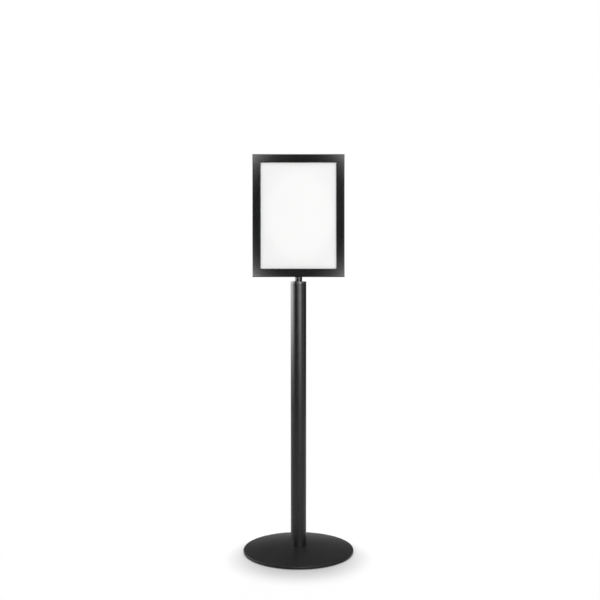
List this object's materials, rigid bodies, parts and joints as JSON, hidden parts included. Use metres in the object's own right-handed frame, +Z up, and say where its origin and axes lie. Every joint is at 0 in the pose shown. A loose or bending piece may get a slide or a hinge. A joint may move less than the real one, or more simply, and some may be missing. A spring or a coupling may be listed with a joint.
{
  "type": "free-standing portrait sign stand",
  "caption": "Free-standing sign stand: round weighted base, slim post and a portrait frame that swivels and takes a sheet from the top.",
  "frame": {"origin": "centre of the base on the floor, under the post's axis", "axes": "+Z up along the post, -Y towards the viewer of the sign's front, +X to that viewer's right"},
  "size_m": [0.358, 0.358, 1.294],
  "materials": {
    "floor_rubber": "matt black moulded rubber",
    "raw_cast_iron": "rough casting with a thin dark primer",
    "black_powder_coat": "semi-gloss black powder coat on steel",
    "black_aluminium": "semi-gloss black powder coat on aluminium",
    "zinc_steel": "zinc-plated steel",
    "black_screw": "blackened steel",
    "bush_bronze": "plain bearing bronze",
    "white_nylon": "natural nylon",
    "clear_plastic": "clear polished sheet",
    "white_card": "matt white card, blank"
  },
  "bodies": {
    "stand": {"floor_ring": "floor_rubber", "base_weight": "raw_cast_iron", "base_cover": "black_powder_coat", "base_bolt": "zinc_steel", "base_lock_washer": "zinc_steel", "base_flat_washer": "zinc_steel", "post_foot_plug": "zinc_steel", "post_tube": "black_powder_coat", "post_cap": "black_aluminium", "swivel_bush": "bush_bronze"},
    "sign_frame": {"swivel_neck": "black_powder_coat", "thrust_washer": "white_nylon", "disc_springs": "zinc_steel", "neck_washer": "zinc_steel", "neck_lock_nut": "zinc_steel", "rail_nut_bar": "zinc_steel", "frame_rail_bottom": "black_aluminium", "frame_rail_left": "black_aluminium", "frame_rail_top": "black_aluminium", "frame_rail_right": "black_aluminium", "corner_plate_bottom_left": "zinc_steel", "corner_plate_bottom_right": "zinc_steel", "corner_plate_top_left": "zinc_steel", "corner_plate_top_right": "zinc_steel", "corner_screws": "black_screw"},
    "front_panel": {"front_clear_panel": "clear_plastic"},
    "card": {"sign_card": "white_card"},
    "back_panel": {"back_clear_panel": "clear_plastic"}
  },
  "joints": [
    {"name": "sign_swivel", "type": "hinge", "parent": "stand", "child": "sign_frame", "pos_m": [0, 0, 0.88], "axis": [0, 0, 1], "continuous": true},
    {"name": "front_panel_lift", "type": "slide", "parent": "sign_frame", "child": "front_panel", "axis": [0, 0, 1], "range_m": [0, 0.385]},
    {"name": "card_lift", "type": "slide", "parent": "sign_frame", "child": "card", "axis": [0, 0, 1], "range_m": [0, 0.385]},
    {"name": "back_panel_lift", "type": "slide", "parent": "sign_frame", "child": "back_panel", "axis": [0, 0, 1], "range_m": [0, 0.385]}
  ]
}
